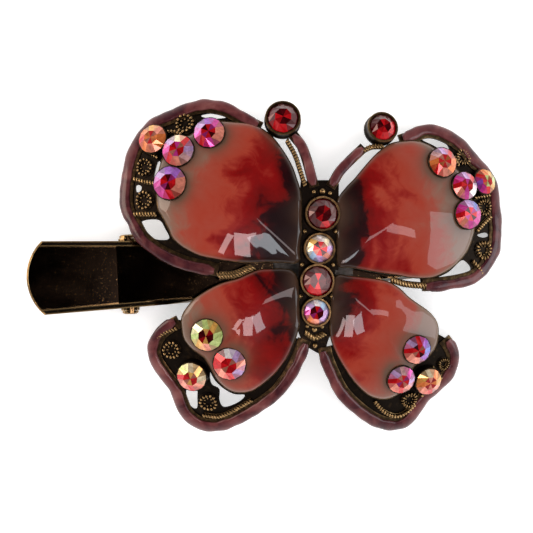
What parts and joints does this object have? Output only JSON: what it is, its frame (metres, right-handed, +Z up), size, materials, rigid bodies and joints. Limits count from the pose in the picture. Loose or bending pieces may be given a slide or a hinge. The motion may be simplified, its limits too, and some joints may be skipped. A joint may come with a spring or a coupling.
{
  "type": "butterfly hair clip",
  "caption": "Spring hair clip with a cast butterfly in antique metal, red and mauve enamel and faceted rainbow crystals.",
  "frame": {"origin": "bottom centre of the bounding box at rest, clip closed", "axes": "+X from the clip's finger grips towards the beak, +Y towards the butterfly's head and antennae, +Z up, out of the enamelled face"},
  "size_m": [0.0752, 0.0536, 0.0119],
  "materials": {
    "antique_brass": "antiqued, polished on raised edges",
    "black_brass": "black plated, polished",
    "spring_steel": "bright drawn wire",
    "solder": "dull",
    "red_enamel": "glossy, marbled from black-red to brick and dusty pink",
    "mauve_enamel": "glossy, streaked",
    "red_crystal": "faceted, foil backed",
    "rainbow_crystal": "faceted, rainbow coated, foil backed"
  },
  "bodies": {
    "lower_body": {"lower_lever": "black_brass", "pivot_pin": "black_brass", "torsion_spring": "spring_steel"},
    "upper_body": {"butterfly_casting": "antique_brass", "enamel_upper_left": "red_enamel", "enamel_upper_right": "red_enamel", "enamel_lower_left": "red_enamel", "enamel_lower_right": "red_enamel", "enamel_rim_upper_left": "mauve_enamel", "enamel_rim_upper_right": "mauve_enamel", "enamel_rim_lower_left": "mauve_enamel", "enamel_rim_lower_right": "mauve_enamel", "enamel_antenna_left": "mauve_enamel", "enamel_antenna_right": "mauve_enamel", "crystal_body_1": "red_crystal", "crystal_body_2": "rainbow_crystal", "crystal_body_3": "red_crystal", "crystal_body_4": "rainbow_crystal", "crystal_antenna_left": "red_crystal", "crystal_antenna_right": "red_crystal", "crystal_upper_left_1": "rainbow_crystal", "crystal_upper_left_2": "rainbow_crystal", "crystal_upper_left_3": "rainbow_crystal", "crystal_upper_left_4": "rainbow_crystal", "crystal_upper_right_1": "rainbow_crystal", "crystal_upper_right_2": "rainbow_crystal", "crystal_upper_right_3": "rainbow_crystal", "crystal_upper_right_4": "rainbow_crystal", "crystal_lower_left_1": "rainbow_crystal", "crystal_lower_left_2": "rainbow_crystal", "crystal_lower_left_3": "rainbow_crystal", "crystal_lower_right_1": "rainbow_crystal", "crystal_lower_right_2": "rainbow_crystal", "crystal_lower_right_3": "rainbow_crystal", "upper_lever": "black_brass", "solder_layer": "solder"}
  },
  "joints": [
    {"name": "clip_hinge", "type": "hinge", "parent": "lower_body", "child": "upper_body", "pos_m": [-0.02211, 0, 0.0037], "axis": [0, -1, 0], "range_deg": [0, 24], "stiffness_Nm_per_rad": 0.15, "springref_deg": -34.38, "deforming": ["torsion_spring"]}
  ]
}
